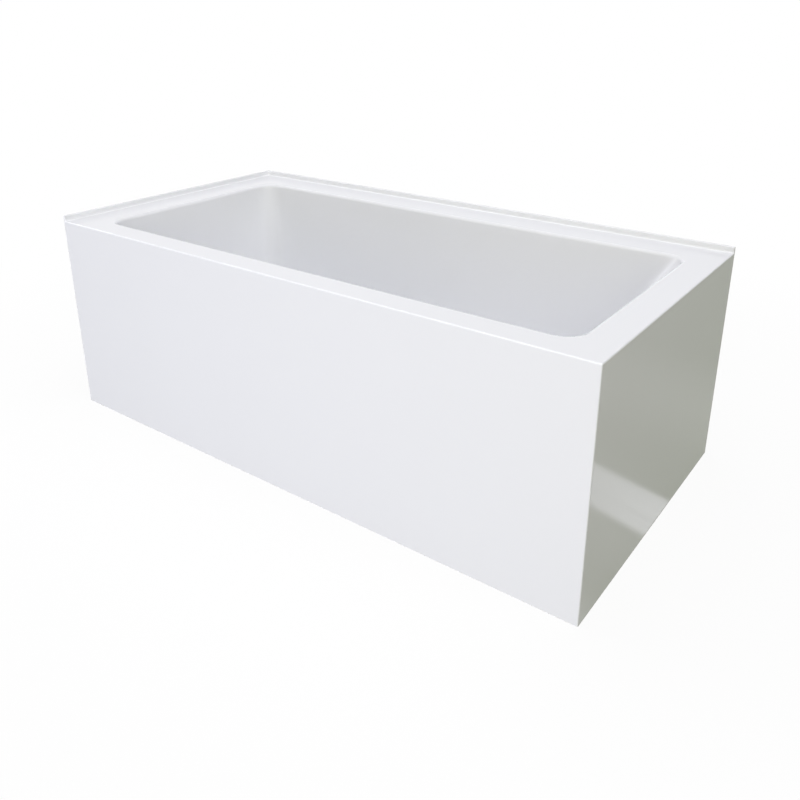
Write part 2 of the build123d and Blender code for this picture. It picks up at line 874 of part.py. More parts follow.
# Clamp ring: screws into the overflow body through the wall and carries the spindle's hub
def make_overflow_clamp_ring():
    with BuildPart() as ring:
        with BuildSketch(overflow_plane):
            Circle(clamp_disc_radius)
        extrude(amount=clamp_disc)
        fillet(ring.edges().filter_by(GeomType.CIRCLE).sort_by(Axis.Y)[-1], clamp_disc / 2)
        with BuildSketch(overflow_plane.offset(-clamp_tube_depth)):
            Circle(clamp_tube_radius)
        extrude(amount=clamp_tube_depth)
        with BuildSketch(overflow_plane.offset(-clamp_tube_depth - over_cut)):
            Circle(clamp_tube_bore)
        extrude(amount=clamp_tube_depth + clamp_disc + 2 * over_cut, mode=Mode.SUBTRACT)
        with BuildSketch(overflow_plane.offset(-clamp_tube_depth)):
            with PolarLocations(clamp_tube_bore / 2, 3, start_angle=90):
                Rectangle(clamp_tube_bore + over_cut, clamp_spoke)
        extrude(amount=clamp_spoke_depth)
        with BuildSketch(overflow_plane.offset(-clamp_tube_depth)):
            Circle(clamp_hub_radius)
        extrude(amount=clamp_tube_depth - clamp_hub_front)
        with BuildSketch(overflow_plane.offset(-clamp_tube_depth - over_cut)):
            Circle(spindle_radius + spindle_fit)
        extrude(amount=clamp_tube_depth, mode=Mode.SUBTRACT)
    save(ring, "overflow_clamp_ring")


# Overflow knob: a hollow cap with a grip bar, held off the ring so that water passes behind
def make_overflow_knob():
    rear = clamp_disc + knob_gap
    front = rear + knob_height
    with BuildPart() as knob:
        with BuildSketch(overflow_plane.offset(rear)):
            Circle(knob_radius)
        extrude(amount=knob_height)
        fillet(knob.edges().filter_by(GeomType.CIRCLE).sort_by(Axis.Y)[-1], knob_edge_round)
        with BuildSketch(overflow_plane.offset(front - over_cut)):
            SlotOverall(knob_bar_length, knob_bar_width, rotation=90)
        extrude(amount=knob_bar_height + over_cut)
        fillet(knob.faces().sort_by(Axis.Y)[-1].edges(), knob_bar_round)
        with BuildSketch(overflow_plane.offset(rear)):
            Circle(knob_radius - knob_wall)
        extrude(amount=knob_height - knob_wall, mode=Mode.SUBTRACT)
        with BuildSketch(overflow_plane):
            Circle(knob_boss_radius)
        extrude(amount=front - knob_wall)
        with BuildSketch(overflow_plane.offset(-over_cut)):
            Circle(spindle_radius + spindle_fit)
        extrude(amount=front - knob_wall + over_cut, mode=Mode.SUBTRACT)
    save(knob, "overflow_knob")

    with BuildPart() as spindle:
        with BuildSketch(overflow_plane.offset(-spindle_rear)):
            Circle(spindle_radius)
        extrude(amount=spindle_rear + front - knob_wall)
        with BuildSketch(overflow_plane.offset(-spindle_rear)):
            Circle(cam_radius)
        extrude(amount=cam_thickness)
    save(spindle, "knob_spindle")


# Pop-up stopper: domed cap, seal under it, and the stem that the lever lifts
def make_stopper():
    seal_bottom = flange_top + stopper_seal_gap
    cap_bottom = seal_bottom + stopper_seal
    section = Plane(origin=(drain_x, drain_y, cap_bottom), x_dir=(1, 0, 0), z_dir=(0, -1, 0))
    with BuildPart() as cap:
        with BuildSketch(section):
            with BuildLine():
                Line((0, 0), (stopper_radius, 0))
                Line((stopper_radius, 0), (stopper_radius, stopper_rim))
                ThreePointArc(
                    (stopper_radius, stopper_rim),
                    (stopper_radius / 2, stopper_rim + stopper_dome * 3 / 4),
                    (0, stopper_rim + stopper_dome),
                )
                Line((0, stopper_rim + stopper_dome), (0, 0))
            make_face()
        revolve(axis=Axis((drain_x, drain_y, 0), (0, 0, 1)))
        fillet(cap.edges().filter_by(GeomType.CIRCLE).group_by(Axis.Z)[1], stopper_rim / 2)
    save(cap, "stopper_cap")
    make_ring(
        "stopper_seal",
        drain_plane.offset(seal_bottom),
        stopper_seal_outer,
        stopper_seal_inner,
        stopper_seal,
    )
    with BuildPart() as stem:
        with BuildSketch(drain_plane.offset(stem_bottom)):
            Circle(stem_radius)
        extrude(amount=cap_bottom - stem_bottom)
        fillet(stem.edges().group_by(Axis.Z)[0], stem_radius / 3)
    save(stem, "stopper_stem")


# Lift lever: hub on the pin, an arm with a roller under the stem, a horn for the cable
def make_lift_lever():
    tilt = lever_swing / 2
    rise = lever_reach * sin(radians(tilt))
    run = lever_reach * cos(radians(tilt))
    with BuildPart() as lever:
        with BuildSketch(lever_plane):
            with Locations(Location((-run / 2, -rise / 2), tilt)):
                SlotCenterToCenter(lever_reach, lever_arm)
            with Locations((0, -lever_horn / 2)):
                SlotCenterToCenter(lever_horn, lever_arm, rotation=90)
        extrude(amount=lever_width / 2, both=True)
        with BuildSketch(lever_plane):
            with Locations((-run, -rise)):
                Circle(lever_roller_radius)
            Circle(lever_hub_radius)
        extrude(amount=lever_hub_length / 2, both=True)
        with BuildSketch(lever_plane):
            Circle(lever_pin_radius + lever_pin_fit)
        extrude(amount=lever_hub_length, both=True, mode=Mode.SUBTRACT)
    save(lever, "lift_lever")

    with BuildPart() as pin:
        with BuildSketch(lever_plane):
            Circle(lever_pin_radius)
        extrude(amount=lever_pin_length / 2, both=True)
    save(pin, "lever_pin")


# Lift cable: down the riser, round the tee in one bend, along the waste tube to the shoe
def make_lift_cable():
    top = (drain_x, riser_y, overflow_z - cable_top_drop)
    corner = (drain_x, riser_y, pipe_height)
    end = (drain_x, drain_y - cable_shoe_end, pipe_height)
    with BuildPart() as cable:
        with BuildLine():
            FilletPolyline(top, corner, end, radius=cable_bend)
        with BuildSketch(Plane(origin=top, x_dir=(1, 0, 0), z_dir=(0, 0, -1))):
            Circle(cable_radius)
        sweep()
    save(cable, "lift_cable")


# Places shared by the pieces
laminate_hole_radius = recess_radius + sheet + laminate_hole_gap
flange_top = recess_floor + flange_seal + flange_disc
board_left = foot_end + board_inset
board_right = backrest_end - board_head_inset
board_front = mouth_front + side_slope * basin_depth + board_inset
board_back = mouth_back - side_slope * basin_depth - board_inset
bearer_front = board_front + bearer_inset
bearer_back = board_back - bearer_inset
foot_rows = (bearer_front + foot_from_bearer_end, bearer_back - foot_from_bearer_end)
foot_places = [(x, y) for x in bearer_places for y in foot_rows]
bearer_screw_rows = (
    foot_rows[0] + bearer_screw_from_foot,
    (foot_rows[0] + foot_rows[1]) / 2,
    foot_rows[1] - bearer_screw_from_foot,
)
bearer_screws_at = [(x, y) for x in bearer_places for y in bearer_screw_rows]
front_brackets_at = [(x, apron_front_back + bracket_leg / 2) for x in front_bracket_places]
end_brackets_at = [(apron_end_back - bracket_leg / 2, y) for y in end_bracket_places]

drain_plane = Plane(origin=(drain_x, drain_y, 0))
overflow_plane = Plane(
    origin=(drain_x, front_wall(overflow_z, 0), overflow_z),
    x_dir=(1, 0, 0),
    z_dir=(0, 1, side_slope),
)
riser_y = front_wall(overflow_z - overflow_socket_drop, backing_outside) - riser_gap - slip_nut_corner
wall_to_riser = front_wall(overflow_z, 0) - riser_y

lever_plane = Plane(
    origin=(drain_x, drain_y + lever_reach, lever_pivot_height), x_dir=(0, 1, 0), z_dir=(1, 0, 0)
)
roller_top = lever_pivot_height - lever_reach * sin(radians(lever_swing / 2)) + lever_roller_radius
stem_bottom = roller_top + lever_gap

socket_mouths = (
    Plane(
        origin=(drain_x, drain_y - shoe_outlet_length, pipe_height),
        x_dir=(1, 0, 0),
        z_dir=(0, -1, 0),
    ),
    Plane(
        origin=(drain_x, riser_y + tee_arm, pipe_height),
        x_dir=(1, 0, 0),
        z_dir=(0, 1, 0),
    ),
    Plane(origin=(drain_x, riser_y, pipe_height + tee_arm)),
    Plane(
        origin=(drain_x, riser_y, overflow_z - overflow_socket_drop),
        x_dir=(1, 0, 0),
        z_dir=(0, 0, -1),
    ),
)

# The pieces, from the shell outwards
os.makedirs("parts", exist_ok=True)
make_tub_shell()
make_fibreglass_backing()
make_floor_board()
make_timber_frame()
make_front_apron()
make_end_apron()
make_apron_brackets()
make_screws("bracket_screws", front_brackets_at + end_brackets_at, batten_under - bracket_sheet)
make_gusset_group("front_gussets", Plane.YZ, apron_front_back, front_wall, front_gusset_places)
make_gusset_group("end_gusset", Plane.XZ, apron_end_back, backrest_wall, against_normal([drain_y]))

for side, x in zip(("left", "right"), bearer_places):
    make_bearer(f"{side}_bearer", x)
make_screws("bearer_screws", bearer_screws_at, board_under - bearer_steel)
make_stud_nuts("weld_nuts", board_under - bearer_steel, nut_height)
make_stud_nuts("lock_nuts", board_under - bearer_steel - nut_height, lock_nut_height)
foot_names = ("front_left_foot", "back_left_foot", "front_right_foot", "back_right_foot")
for foot_name, place in zip(foot_names, foot_places):
    make_foot(foot_name, place)

make_ring(
    "drain_flange_seal",
    drain_plane.offset(recess_floor),
    flange_disc_radius - seal_inset,
    drain_hole_radius,
    flange_seal,
)
make_drain_flange()
make_ring(
    "shoe_gasket",
    drain_plane.offset(shoe_top),
    shoe_disc_radius - seal_inset,
    drain_hole_radius,
    shoe_gasket,
)
make_drain_shoe()
waste_tube_start = riser_y + tee_arm - tube_seat
waste_tube_end = drain_y - shoe_outlet_length + tube_seat
make_ring(
    "waste_tube",
    Plane(origin=(drain_x, waste_tube_start, pipe_height), x_dir=(1, 0, 0), z_dir=(0, 1, 0)),
    tube_radius,
    outlet_bore_radius,
    waste_tube_end - waste_tube_start,
)
make_waste_tee()
riser_start = pipe_height + tee_arm - tube_seat
riser_end = overflow_z - overflow_socket_drop + tube_seat
make_ring(
    "riser_tube",
    Plane(origin=(drain_x, riser_y, riser_start)),
    tube_radius,
    outlet_bore_radius,
    riser_end - riser_start,
)
make_slip_joints()

make_overflow_body()
make_ring(
    "overflow_gasket",
    overflow_plane.offset(-backing_outside - overflow_gasket),
    overflow_disc_radius,
    overflow_hole_radius,
    overflow_gasket,
)
make_overflow_clamp_ring()
make_overflow_knob()
make_stopper()
make_lift_lever()
make_lift_cable()
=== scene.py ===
from math import radians

import bpy
from bpy.props import FloatProperty, FloatVectorProperty, PointerProperty
from bpy.types import Operator, Panel, PropertyGroup
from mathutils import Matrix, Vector

bl_info = {
    "name": "Corner bathtub finishes and studio",
    "version": (1, 0, 0),
    "blender": (4, 5, 0),
    "location": "3D View > Sidebar > Bathtub",
    "description": "Finishes for the pieces of a corner bathtub, and a plain studio round it",
    "category": "Object",
}

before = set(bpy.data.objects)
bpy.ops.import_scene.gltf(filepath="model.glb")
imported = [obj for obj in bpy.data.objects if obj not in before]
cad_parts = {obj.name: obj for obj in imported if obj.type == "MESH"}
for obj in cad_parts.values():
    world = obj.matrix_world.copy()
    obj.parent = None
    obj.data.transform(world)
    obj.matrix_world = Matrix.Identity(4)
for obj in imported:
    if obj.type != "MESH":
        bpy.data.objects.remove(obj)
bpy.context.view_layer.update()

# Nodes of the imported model, grouped by what they are made of
ACRYLIC = ("tub_shell", "front_apron", "end_apron")
BOARDS = ("floor_board", "front_gussets", "end_gusset")
TIMBER_ALONG_X = ("front_deck_batten", "back_deck_batten", "front_sole_rail")
TIMBER_ALONG_Y = ("end_deck_batten", "left_deck_batten", "end_sole_rail")
TIMBER_UPRIGHT = ("corner_post", "front_left_post", "end_back_post")
GALVANISED = ("apron_brackets", "left_bearer", "right_bearer")
FASTENERS = ("bracket_screws", "bearer_screws", "weld_nuts", "lock_nuts")
FEET = ("front_left_foot", "back_left_foot", "front_right_foot", "back_right_foot")
PIPEWORK = ("drain_shoe", "waste_tube", "waste_tee", "riser_tube", "slip_nuts", "overflow_body")
SEALS = ("drain_flange_seal", "shoe_gasket", "slip_washers", "overflow_gasket", "stopper_seal")
CHROME = ("drain_flange", "stopper_cap", "overflow_clamp_ring", "overflow_knob")
BRASS = ("stopper_stem", "lift_lever", "lever_pin", "knob_spindle")

# Lamps: name, place, the point that each faces, its two sides, in metres, and its tint.
# The studio's property of the same name holds its power.
LAMPS = (
    ("front", (-0.5, -4.6, 0.26), (-0.2, -0.38, 0.3), (4.0, 0.5), (0.873, 0.874, 1.0)),
    ("top", (-0.3, 0, 3.3), (-0.3, 0, 0), (3.0, 3.0), (0.945, 0.949, 1.0)),
    ("corner", (2.4, -3.6, 1.8), (0, 0, 0.3), (2.5, 2.5), (1.0, 0.974, 0.766)),
    ("right", (2.6, -0.5, 3.2), (0, 0, 0.3), (2.0, 2.0), (0.964, 0.961, 1.0)),
    ("left", (-3.4, -0.6, 1.7), (0, 0, 0.45), (1.5, 1.5), (1.0, 0.962, 0.99)),
    ("back", (-2.2, 3.2, 0.9), (0, 0.3, 0.3), (2.5, 1.2), (1.0, 1.0, 1.0)),
)

# Lamps that glossy pieces don't mirror
UNMIRRORED = ("front", "top", "back")

# The floor's side, and from where to where its shade round the tub fades out, in metres
FLOOR_SIDE = 40
SHADE_FADE = (0.9, 2.2)

# How much of that shade shows in the floor's white
SHADE_SHARE = 0.07

# The glowing card beside the end apron that holds the painted reflection strips, seen only by
# glossy pieces: its reach along X and Y, its height
CARD_ALONG_X = (0.763, 1.25)
CARD_ALONG_Y = (-0.9, 1.0)
CARD_HEIGHT = 0.001

# The painted reflection strips: middle at the apron, how far that moves along Y for each metre away
# from the apron, half width, share of the full brightness, tint and soft share
PAINTED_STREAKS = (
    (-0.08, 0.25, 0.1, 0.53, (0.96, 1.0, 0.86), 0.9),
    (0.032, 0.25, 0.078, 0.99, (0.985, 1.0, 0.985), 0.25),
    (0.62, 0.1, 0.2, 0.54, (0.96, 1.0, 0.86), 0.8),
    (-0.45, 0.0, 0.1, 0.72, (0.97, 1.0, 0.93), 0.9),
)

# The fine lines in a strip: how many to the metre, and how far they go from its brightness
LINES_PER_METRE = 90
LINE_CONTRAST = 0.05

# About how far apart the bands of a wave texture are at a scale of 1, in metres
WAVE_BAND = 0.32

# Scale of a wood pattern along the grain, against 1 across it, which draws it out 20 times
ALONG_GRAIN = 0.05


def colour(name, description, default):
    """A colour that the user may change."""
    return FloatVectorProperty(
        name=name, description=description, default=default, subtype="COLOR", min=0, max=1, size=3
    )


def power(name, description, default):
    """A lamp's power."""
    return FloatProperty(name=name, description=description, default=default, subtype="POWER")


def length(name, description, default, low, high):
    """A length that the user may change."""
    return FloatProperty(
        name=name,
        description=description,
        default=default,
        min=low,
        max=high,
        subtype="DISTANCE",
        unit="LENGTH",
    )


class TubFinishes(PropertyGroup):
    """Colours and surface sizes of the bathtub's pieces."""

    acrylic: colour("Acrylic", "Colour of the shell and the aprons", (0.905, 0.913, 0.935))
    laminate: colour("Laminate", "Colour of the resin behind the basin", (0.80, 0.76, 0.62))
    plywood: colour("Plywood", "Colour of the support board and the gussets", (0.50, 0.34, 0.18))
    timber: colour("Timber", "Colour of the battens, posts and rails", (0.60, 0.42, 0.23))
    steel: colour("Galvanised steel", "Colour of the bearers and brackets", (0.56, 0.58, 0.60))
    zinc: colour("Zinc plating", "Colour of screws, nuts and studs", (0.66, 0.66, 0.64))
    plastic: colour("Waste plastic", "Colour of the pipes and fittings", (0.78, 0.78, 0.76))
    rubber: colour("Rubber", "Colour of the seals and washers", (0.022, 0.022, 0.024))
    chrome: colour("Chrome", "Colour of the drain, stopper and knob", (0.80, 0.81, 0.83))
    brass: colour("Brass", "Colour of the stem, lever and spindle", (0.72, 0.52, 0.24))
    pads: colour("Foot pads", "Colour of the feet's plastic pads", (0.03, 0.03, 0.033))
    sheath: colour("Cable sheath", "Colour of the lift cable", (0.03, 0.03, 0.03))
    ripple: length("Panel ripple", "Height of the slow waves in the acrylic", 0.00012, 0, 0.01)
    strand: length("Strand relief", "Height of the glass strands on the laminate", 0.0012, 0, 0.01)
    ring_gap: length(
        "Growth rings", "Distance between growth rings in the timber", 0.006, 0.001, 0.05
    )


class TubStudio(PropertyGroup):
    """The camera and the studio's lamps."""

    lens: FloatProperty(
        name="Lens", description="Focal length", default=36.113, min=10, subtype="DISTANCE_CAMERA"
    )
    spot: FloatVectorProperty(
        name="Camera place",
        description="Where the camera stands",
        default=(1.2005, -1.5194, 1.0814),
        subtype="TRANSLATION",
        unit="LENGTH",
    )
    yaw: FloatProperty(
        name="Yaw",
        description="Turn of the camera from +Y towards -X",
        default=radians(36.312),
        subtype="ANGLE",
    )
    pitch: FloatProperty(
        name="Pitch",
        description="How far the camera looks down",
        default=radians(20.408),
        subtype="ANGLE",
    )
    shift: FloatVectorProperty(
        name="Shift",
        description="Shift of the picture, in picture widths",
        default=(-0.0047, -0.1247),
        size=2,
    )
    front: power("Front lamp", "Power of the low front lamp", 125)
    top: power("Top lamp", "Power of the lamp overhead", 67)
    corner: power("Corner lamp", "Power of the front right lamp", 54.7)
    right: power("Right lamp", "Power of the high right lamp", 28)
    left: power("Left lamp", "Power of the left lamp", 20.9)
    back: power("Back lamp", "Power of the low back lamp", 40)
    sky: FloatProperty(
        name="Sky", description="Strength of the light from all round", default=0.06, min=0
    )
    # Brightness of the painted reflection strips, a glow that the end apron mirrors and no lamp
    # gives
    streaks: FloatProperty(
        name="Streaks",
        description="Brightness of the daylight mirrored in the end apron",
        default=1.33,
        min=0,
    )
    floor: colour("Floor", "Colour of the light that the floor sends on", (0.21, 0.215, 0.195))
    mirrored: colour("Mirrored floor", "Colour of the floor in glossy pieces", (0.60, 0.632, 0.525))


class Finish:
    """A material being put together, with the few kinds of node that these finishes need."""

    def __init__(self, name):
        self.material = bpy.data.materials.new(name)
        self.material.use_nodes = True
        self.tree = self.material.node_tree
        self.shader = self.tree.nodes["Principled BSDF"]

    def node(self, kind, **settings):
        """A new node, with its properties set."""
        made = self.tree.nodes.new(kind)
        for name, value in settings.items():
            setattr(made, name, value)
        return made

    def join(self, source, target):
        """A link from an output to an input."""
        self.tree.links.new(source, target)

    def place(self, stretch=(1, 1, 1), turn=(0, 0, 0)):
        """The piece's own coordinates in metres, stretched."""
        coordinates = self.node("ShaderNodeTexCoord")
        mapping = self.node("ShaderNodeMapping")
        mapping.inputs["Scale"].default_value = stretch
        mapping.inputs["Rotation"].default_value = turn
        self.join(coordinates.outputs["Object"], mapping.inputs["Vector"])
        return mapping.outputs["Vector"]

    def noise(self, place, scale, detail=2.0, distortion=0.0):
        """Soft random variation, scale patches to the metre."""
        texture = self.node("ShaderNodeTexNoise")
        texture.inputs["Scale"].default_value = scale
        texture.inputs["Detail"].default_value = detail
        texture.inputs["Distortion"].default_value = distortion
        self.join(place, texture.inputs["Vector"])
        return texture.outputs["Fac"]

    def cells(self, place, scale):
        """A random brightness for each of scale cells to the metre."""
        texture = self.node("ShaderNodeTexVoronoi")
        texture.inputs["Scale"].default_value = scale
        self.join(place, texture.inputs["Vector"])
        value = self.node("ShaderNodeRGBToBW")
        self.join(texture.outputs["Color"], value.inputs["Color"])
        return value.outputs["Val"]

    def rings(self, place, axis, gap, distortion):
        """Bands across an axis, gap apart and bent by noise."""
        texture = self.node("ShaderNodeTexWave", bands_direction=axis, wave_profile="SAW")
        texture.inputs["Scale"].default_value = WAVE_BAND / gap
        texture.inputs["Distortion"].default_value = distortion
        self.join(place, texture.inputs["Vector"])
        return texture.outputs["Fac"]

    def spread(self, value, to=(0.0, 1.0), over=(0.0, 1.0)):
        """A value, with the range over mapped to the range to."""
        ranged = self.node("ShaderNodeMapRange")
        for name, number in zip(("From Min", "From Max", "To Min", "To Max"), (*over, *to)):
            ranged.inputs[name].default_value = number
        self.join(value, ranged.inputs["Value"])
        return ranged.outputs["Result"]

    def mix(self, share, first, second):
        """A colour between two, each a colour or another node's output."""
        mixed = self.node("ShaderNodeMix", data_type="RGBA")
        self.join(share, mixed.inputs["Factor"])
        for value, name in ((first, "A"), (second, "B")):
            socket = next(s for s in mixed.inputs if s.name == name and s.type == "RGBA")
            if isinstance(value, bpy.types.NodeSocket):
                self.join(value, socket)
            else:
                socket.default_value = (*value, 1)
        return next(s for s in mixed.outputs if s.type == "RGBA")

    def add(self, first, second, share=1.0):
        """first plus share of second."""
        total = self.node("ShaderNodeMath", operation="MULTIPLY_ADD")
        total.inputs[1].default_value = share
        self.join(second, total.inputs[0])
        self.join(first, total.inputs[2])
        return total.outputs["Value"]

    def colour(self, output):
        """Colour that changes over the surface."""
        self.join(output, self.shader.inputs["Base Color"])

    def roughness(self, output):
        """Roughness that changes over the surface."""
        self.join(output, self.shader.inputs["Roughness"])

    def relief(self, height, distance):
        """Bumps whose full height is distance, in metres."""
        bump = self.node("ShaderNodeBump")
        bump.inputs["Distance"].default_value = distance
        self.join(height, bump.inputs["Height"])
        self.join(bump.outputs["Normal"], self.shader.inputs["Normal"])

    def all_over(self, name, value):
        """A number that is the same all over, set on the shader itself."""
        self.shader.inputs[name].default_value = value


def shade(tone, amount):
    """A colour made darker, amount being 1 for no change."""
    return tuple(channel * amount for channel in tone)


def acrylic_finish(tone, ripple):
    """Glossy cast sheet, with the slow waves that forming leaves in it."""
    finish = Finish("gloss_acrylic")
    place = finish.place()
    cloud = finish.noise(place, scale=2.5)
    waves = finish.noise(place, scale=5.0, detail=1.0)
    polish = finish.noise(place, scale=40)
    finish.colour(finish.mix(cloud, shade(tone, 0.99), shade(tone, 1.005)))
    finish.roughness(finish.spread(polish, to=(0.07, 0.13)))
    finish.relief(waves, ripple)
    finish.all_over("IOR", 1.49)
    return finish.material


def laminate_finish(tone, relief):
    """Chopped glass strands in resin, rolled by hand."""
    finish = Finish("glass_laminate")
    strand = (1, 0.1, 1)
    layers = []
    for turn in ((0.4, 0.9, 0.5), (1.1, 0.3, 1.6), (0.7, 1.5, 2.6)):
        layers.append(finish.noise(finish.place(strand, turn), scale=420, detail=1.0))
    mat = finish.add(finish.add(layers[0], layers[1]), layers[2])
    pools = finish.noise(finish.place(), scale=14, detail=4.0)
    strands = finish.mix(finish.spread(mat, over=(1.2, 1.9)), shade(tone, 0.86), shade(tone, 1.07))
    pooled = finish.spread(pools, to=(0, 0.5), over=(0.35, 0.7))
    finish.colour(finish.mix(pooled, strands, shade(tone, 0.86)))
    finish.roughness(finish.spread(pools, to=(0.3, 0.6)))
    finish.relief(finish.add(mat, pools, share=2.0), relief)
    return finish.material


def timber_finish(name, tone, ring_gap, stretch, axis):
    """Planed softwood, its grain running the length of the stick."""
    finish = Finish(name)
    place = finish.place(stretch)
    rings = finish.rings(place, axis, ring_gap, distortion=3.0)
    fibres = finish.noise(place, scale=700, detail=3.0)
    cloud = finish.noise(place, scale=12)
    grain = finish.mix(finish.spread(rings, over=(0.2, 1.0)), tone, shade(tone, 0.62))
    dark_fibres = finish.spread(fibres, to=(0, 0.45), over=(0.4, 0.75))
    streaked = finish.mix(dark_fibres, grain, shade(tone, 0.7))
    clouded = finish.spread(cloud, to=(0, 0.4), over=(0.4, 0.8))
    finish.colour(finish.mix(clouded, streaked, shade(tone, 0.85)))
    finish.roughness(finish.spread(fibres, to=(0.5, 0.75)))
    finish.relief(finish.add(fibres, rings, share=0.6), distance=0.0004)
    return finish.material


def plywood_finish(tone):
    """Sanded plywood: one veneer's grain on the faces, the plies on the edges."""
    finish = Finish("birch_plywood")
    veneer = finish.place((ALONG_GRAIN, 1, 1))
    grain = finish.noise(veneer, scale=90, detail=4.0, distortion=0.6)
    face = finish.mix(finish.spread(grain, over=(0.35, 0.7)), tone, shade(tone, 0.72))
    plies = finish.rings(finish.place(), "Z", gap=0.003, distortion=0.4)
    edge = finish.mix(finish.spread(plies, over=(0.35, 0.65)), shade(tone, 1.1), shade(tone, 0.5))
    geometry = finish.node("ShaderNodeNewGeometry")
    split = finish.node("ShaderNodeSeparateXYZ")
    upright = finish.node("ShaderNodeMath", operation="ABSOLUTE")
    finish.join(geometry.outputs["True Normal"], split.inputs["Vector"])
    finish.join(split.outputs["Z"], upright.inputs[0])
    finish.colour(finish.mix(finish.spread(upright.outputs["Value"], over=(0.4, 0.6)), edge, face))
    finish.roughness(finish.spread(grain, to=(0.45, 0.7)))
    finish.relief(grain, distance=0.0003)
    return finish.material


def galvanised_finish(tone):
    """Hot-dip zinc with its spangle."""
    finish = Finish("galvanised_steel")
    place = finish.place()
    spangle = finish.cells(place, scale=110)
    dust = finish.noise(place, scale=35, detail=4.0)
    tint = finish.mix(spangle, shade(tone, 0.8), shade(tone, 1.15))
    dusty = finish.spread(dust, to=(0, 0.4), over=(0.45, 0.8))
    finish.colour(finish.mix(dusty, tint, shade(tone, 0.7)))
    finish.roughness(finish.add(finish.spread(spangle, to=(0.3, 0.5)), dust, share=0.15))
    finish.all_over("Metallic", 1.0)
    return finish.material


def plated_finish(name, tone, smooth, dull, scale):
    """Bright metal with a fine change of polish, its roughness going from smooth to dull."""
    finish = Finish(name)
    haze = finish.noise(finish.place(), scale, detail=4.0)
    hazy = finish.spread(haze, over=(0.3, 0.8))
    finish.colour(finish.mix(hazy, shade(tone, 1.04), shade(tone, 0.88)))
    finish.roughness(finish.spread(haze, to=(smooth, dull), over=(0.3, 0.8)))
    finish.all_over("Metallic", 1.0)
    return finish.material


def moulded_finish(name, tone, roughness, relief):
    """Moulded plastic or rubber with a fine skin."""
    finish = Finish(name)
    place = finish.place()
    cloud = finish.noise(place, scale=18, detail=3.0)
    skin = finish.noise(place, scale=1500, detail=1.0)
    finish.colour(finish.mix(cloud, shade(tone, 0.92), shade(tone, 1.05)))
    finish.roughness(finish.spread(cloud, to=(roughness - 0.06, roughness + 0.06)))
    finish.relief(skin, relief)
    return finish.material


def give(material, nodes):
    """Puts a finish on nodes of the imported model."""
    for name in nodes:
        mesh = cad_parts[name].data
        mesh.materials.clear()
        mesh.materials.append(material)


class TUB_OT_acrylic(Operator):
    """Finish the formed shell and the apron panels"""

    bl_idname = "tub.acrylic"
    bl_label = "Shell and aprons"

    def execute(self, context):
        finishes = context.scene.tub_finishes
        give(acrylic_finish(finishes.acrylic, finishes.ripple), ACRYLIC)
        return {"FINISHED"}


class TUB_OT_laminate(Operator):
    """Finish the laminate behind the basin"""

    bl_idname = "tub.laminate"
    bl_label = "Laminate"

    def execute(self, context):
        finishes = context.scene.tub_finishes
        give(laminate_finish(finishes.laminate, finishes.strand), ["fibreglass_backing"])
        return {"FINISHED"}


class TUB_OT_boards(Operator):
    """Finish the support board and the gussets"""

    bl_idname = "tub.boards"
    bl_label = "Boards"

    def execute(self, context):
        give(plywood_finish(context.scene.tub_finishes.plywood), BOARDS)
        return {"FINISHED"}


class TUB_OT_timber(Operator):
    """Finish the battens, posts and rails"""

    bl_idname = "tub.timber"
    bl_label = "Timber frame"

    def execute(self, context):
        finishes = context.scene.tub_finishes
        for name, nodes, stretch, axis in (
            ("pine_along_x", TIMBER_ALONG_X, (ALONG_GRAIN, 1, 1), "Z"),
            ("pine_along_y", TIMBER_ALONG_Y, (1, ALONG_GRAIN, 1), "Z"),
            ("pine_upright", TIMBER_UPRIGHT, (1, 1, ALONG_GRAIN), "Y"),
        ):
            give(timber_finish(name, finishes.timber, finishes.ring_gap, stretch, axis), nodes)
        return {"FINISHED"}


class TUB_OT_steelwork(Operator):
    """Finish the bearers, brackets, screws and nuts"""

    bl_idname = "tub.steelwork"
    bl_label = "Steelwork"

    def execute(self, context):
        finishes = context.scene.tub_finishes
        plating = plated_finish("zinc_plate", finishes.zinc, smooth=0.22, dull=0.42, scale=160)
        give(galvanised_finish(finishes.steel), GALVANISED)
        give(plating, FASTENERS)
        return {"FINISHED"}


class TUB_OT_feet(Operator):
    """Finish the levelling feet"""

    bl_idname = "tub.feet"
    bl_label = "Levelling feet"

    def execute(self, context):
        finishes = context.scene.tub_finishes
        studs = plated_finish("stud_plate", finishes.zinc, smooth=0.25, dull=0.45, scale=200)
        pads = moulded_finish("foot_plastic", finishes.pads, roughness=0.5, relief=0.0001)
        give(studs, [f"{foot}_stud" for foot in FEET])
        give(pads, [f"{foot}_pad" for foot in FEET])
        return {"FINISHED"}


class TUB_OT_pipework(Operator):
    """Finish the waste and overflow pipework with its seals"""

    bl_idname = "tub.pipework"
    bl_label = "Pipework"

    def execute(self, context):
        finishes = context.scene.tub_finishes
        plastic = moulded_finish("waste_plastic", finishes.plastic, roughness=0.32, relief=0.00003)
        rubber = moulded_finish("seal_rubber", finishes.rubber, roughness=0.7, relief=0.00005)
        give(plastic, PIPEWORK)
        give(rubber, SEALS)
        return {"FINISHED"}


class TUB_OT_fittings(Operator):
    """Finish the drain, the stopper, the knob and what moves them"""

    bl_idname = "tub.fittings"
    bl_label = "Drain, stopper and knob"

    def execute(self, context):
        finishes = context.scene.tub_finishes
        chrome = plated_finish("chrome_plate", finishes.chrome, smooth=0.04, dull=0.10, scale=60)
        brass = plated_finish("turned_brass", finishes.brass, smooth=0.2, dull=0.36, scale=120)
        sheath = moulded_finish("cable_sheath", finishes.sheath, roughness=0.45, relief=0.00005)
        give(chrome, CHROME)
        give(brass, BRASS)
        give(sheath, ["lift_cable"])
        return {"FINISHED"}


